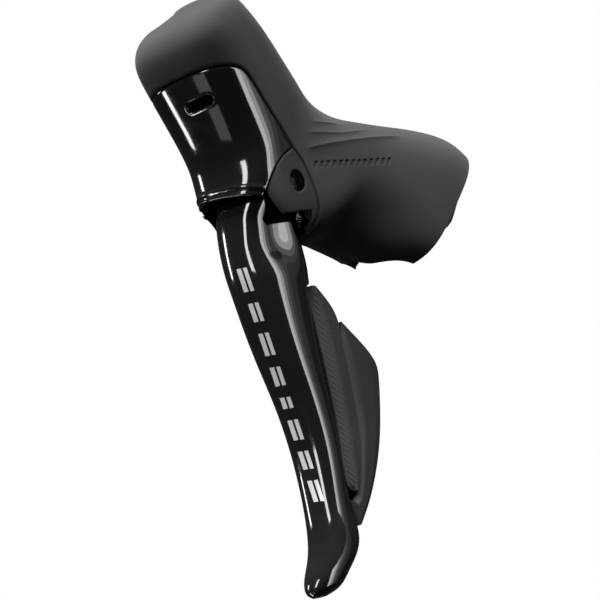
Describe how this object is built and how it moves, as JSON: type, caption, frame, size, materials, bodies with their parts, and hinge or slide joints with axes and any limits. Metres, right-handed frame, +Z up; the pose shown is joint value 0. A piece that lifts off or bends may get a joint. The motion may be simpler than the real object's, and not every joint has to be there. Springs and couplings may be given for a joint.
{
  "type": "brake shift lever",
  "caption": "Drop-bar hydraulic brake lever with a rubber-hooded bracket, a curved glossy brake blade, two electronic shift paddles behind it and a clamp band.",
  "frame": {"origin": "middle of the handlebar seat at the rear end of the bracket", "axes": "+X forward away from the handlebar, +Y towards the rider's left (outer side), +Z up along the horn"},
  "size_m": [0.1047, 0.04, 0.1618],
  "materials": {
    "rubber": "matte, fine grained",
    "gloss": "high gloss lacquer",
    "satin": "satin",
    "plastic": "moulded, matte",
    "steel": "machined",
    "alloy": "anodised",
    "brass": "turned",
    "seal": "smooth",
    "board": "coated",
    "wire": "smooth jacket"
  },
  "bodies": {
    "bracket": {"bracket_body": "plastic", "hood_cover": "rubber", "front_cover": "gloss", "side_plate_outer": "satin", "side_plate_inner": "satin", "clamp_band": "steel", "clamp_bolt": "steel", "lever_axle": "steel", "axle_circlip": "steel", "cylinder_sleeve": "alloy", "piston_spring": "steel", "piston_retainer": "steel", "reservoir_diaphragm": "seal", "reservoir_cover": "plastic", "bleed_screw": "steel", "bleed_o_ring": "seal", "hose_bolt": "steel", "hose_port_plug": "seal", "wire_port_plug": "seal", "battery": "steel", "battery_cover": "plastic", "circuit_board": "board", "wireless_module": "steel", "board_cover": "plastic", "button_switch": "plastic", "free_stroke_screw": "steel", "switch_wire": "wire"},
    "lever": {"brake_lever": "gloss", "cam_pin": "steel", "pivot_bush_inner": "brass", "pivot_bush_outer": "brass", "lever_return_spring": "steel", "switch_housing": "plastic", "front_switch": "plastic", "rear_switch": "plastic", "paddle_pin_front": "steel", "paddle_pin_rear": "steel", "front_paddle_spring": "steel", "rear_paddle_spring": "steel"},
    "piston_group": {"piston": "alloy", "push_rod": "steel", "primary_seal": "seal", "secondary_seal": "seal"},
    "paddle_front": {"shift_paddle_front": "satin"},
    "paddle_rear": {"shift_paddle_rear": "satin"},
    "button": {"top_button": "rubber"}
  },
  "joints": [
    {"name": "brake_pivot", "type": "hinge", "parent": "bracket", "child": "lever", "pos_m": [0.0638, 0, -0.0038], "axis": [0, 1, 0], "range_deg": [0, 18], "stiffness_Nm_per_rad": 0.5, "springref_deg": -28.65, "deforming": ["lever_return_spring", "switch_wire"]},
    {"name": "piston_slide", "type": "slide", "parent": "bracket", "child": "piston_group", "axis": [-0.8988, 0, 0.4384], "range_m": [0, 0.0027], "deforming": ["piston_spring"]},
    {"name": "front_paddle_pivot", "type": "hinge", "parent": "lever", "child": "paddle_front", "pos_m": [0.0584, 0.00914, -0.058], "axis": [0, -0.0619, 0.9981], "range_deg": [0, 8], "stiffness_Nm_per_rad": 0.05, "springref_deg": -8.59, "deforming": ["front_paddle_spring"]},
    {"name": "rear_paddle_pivot", "type": "hinge", "parent": "lever", "child": "paddle_rear", "pos_m": [0.0509, 0.00923, -0.0595], "axis": [0, -0.0619, 0.9981], "range_deg": [0, 6], "stiffness_Nm_per_rad": 0.08, "springref_deg": -6.88, "deforming": ["rear_paddle_spring"]},
    {"name": "top_button_press", "type": "slide", "parent": "bracket", "child": "button", "axis": [-0.499, 0.4192, -0.7585], "range_m": [0, 0.0008], "stiffness_N_per_m": 400, "springref_m": -0.0008}
  ],
  "couplings": [
    {"joint": "piston_slide", "follows": "brake_pivot", "m_per_rad": 0.0078}
  ]
}
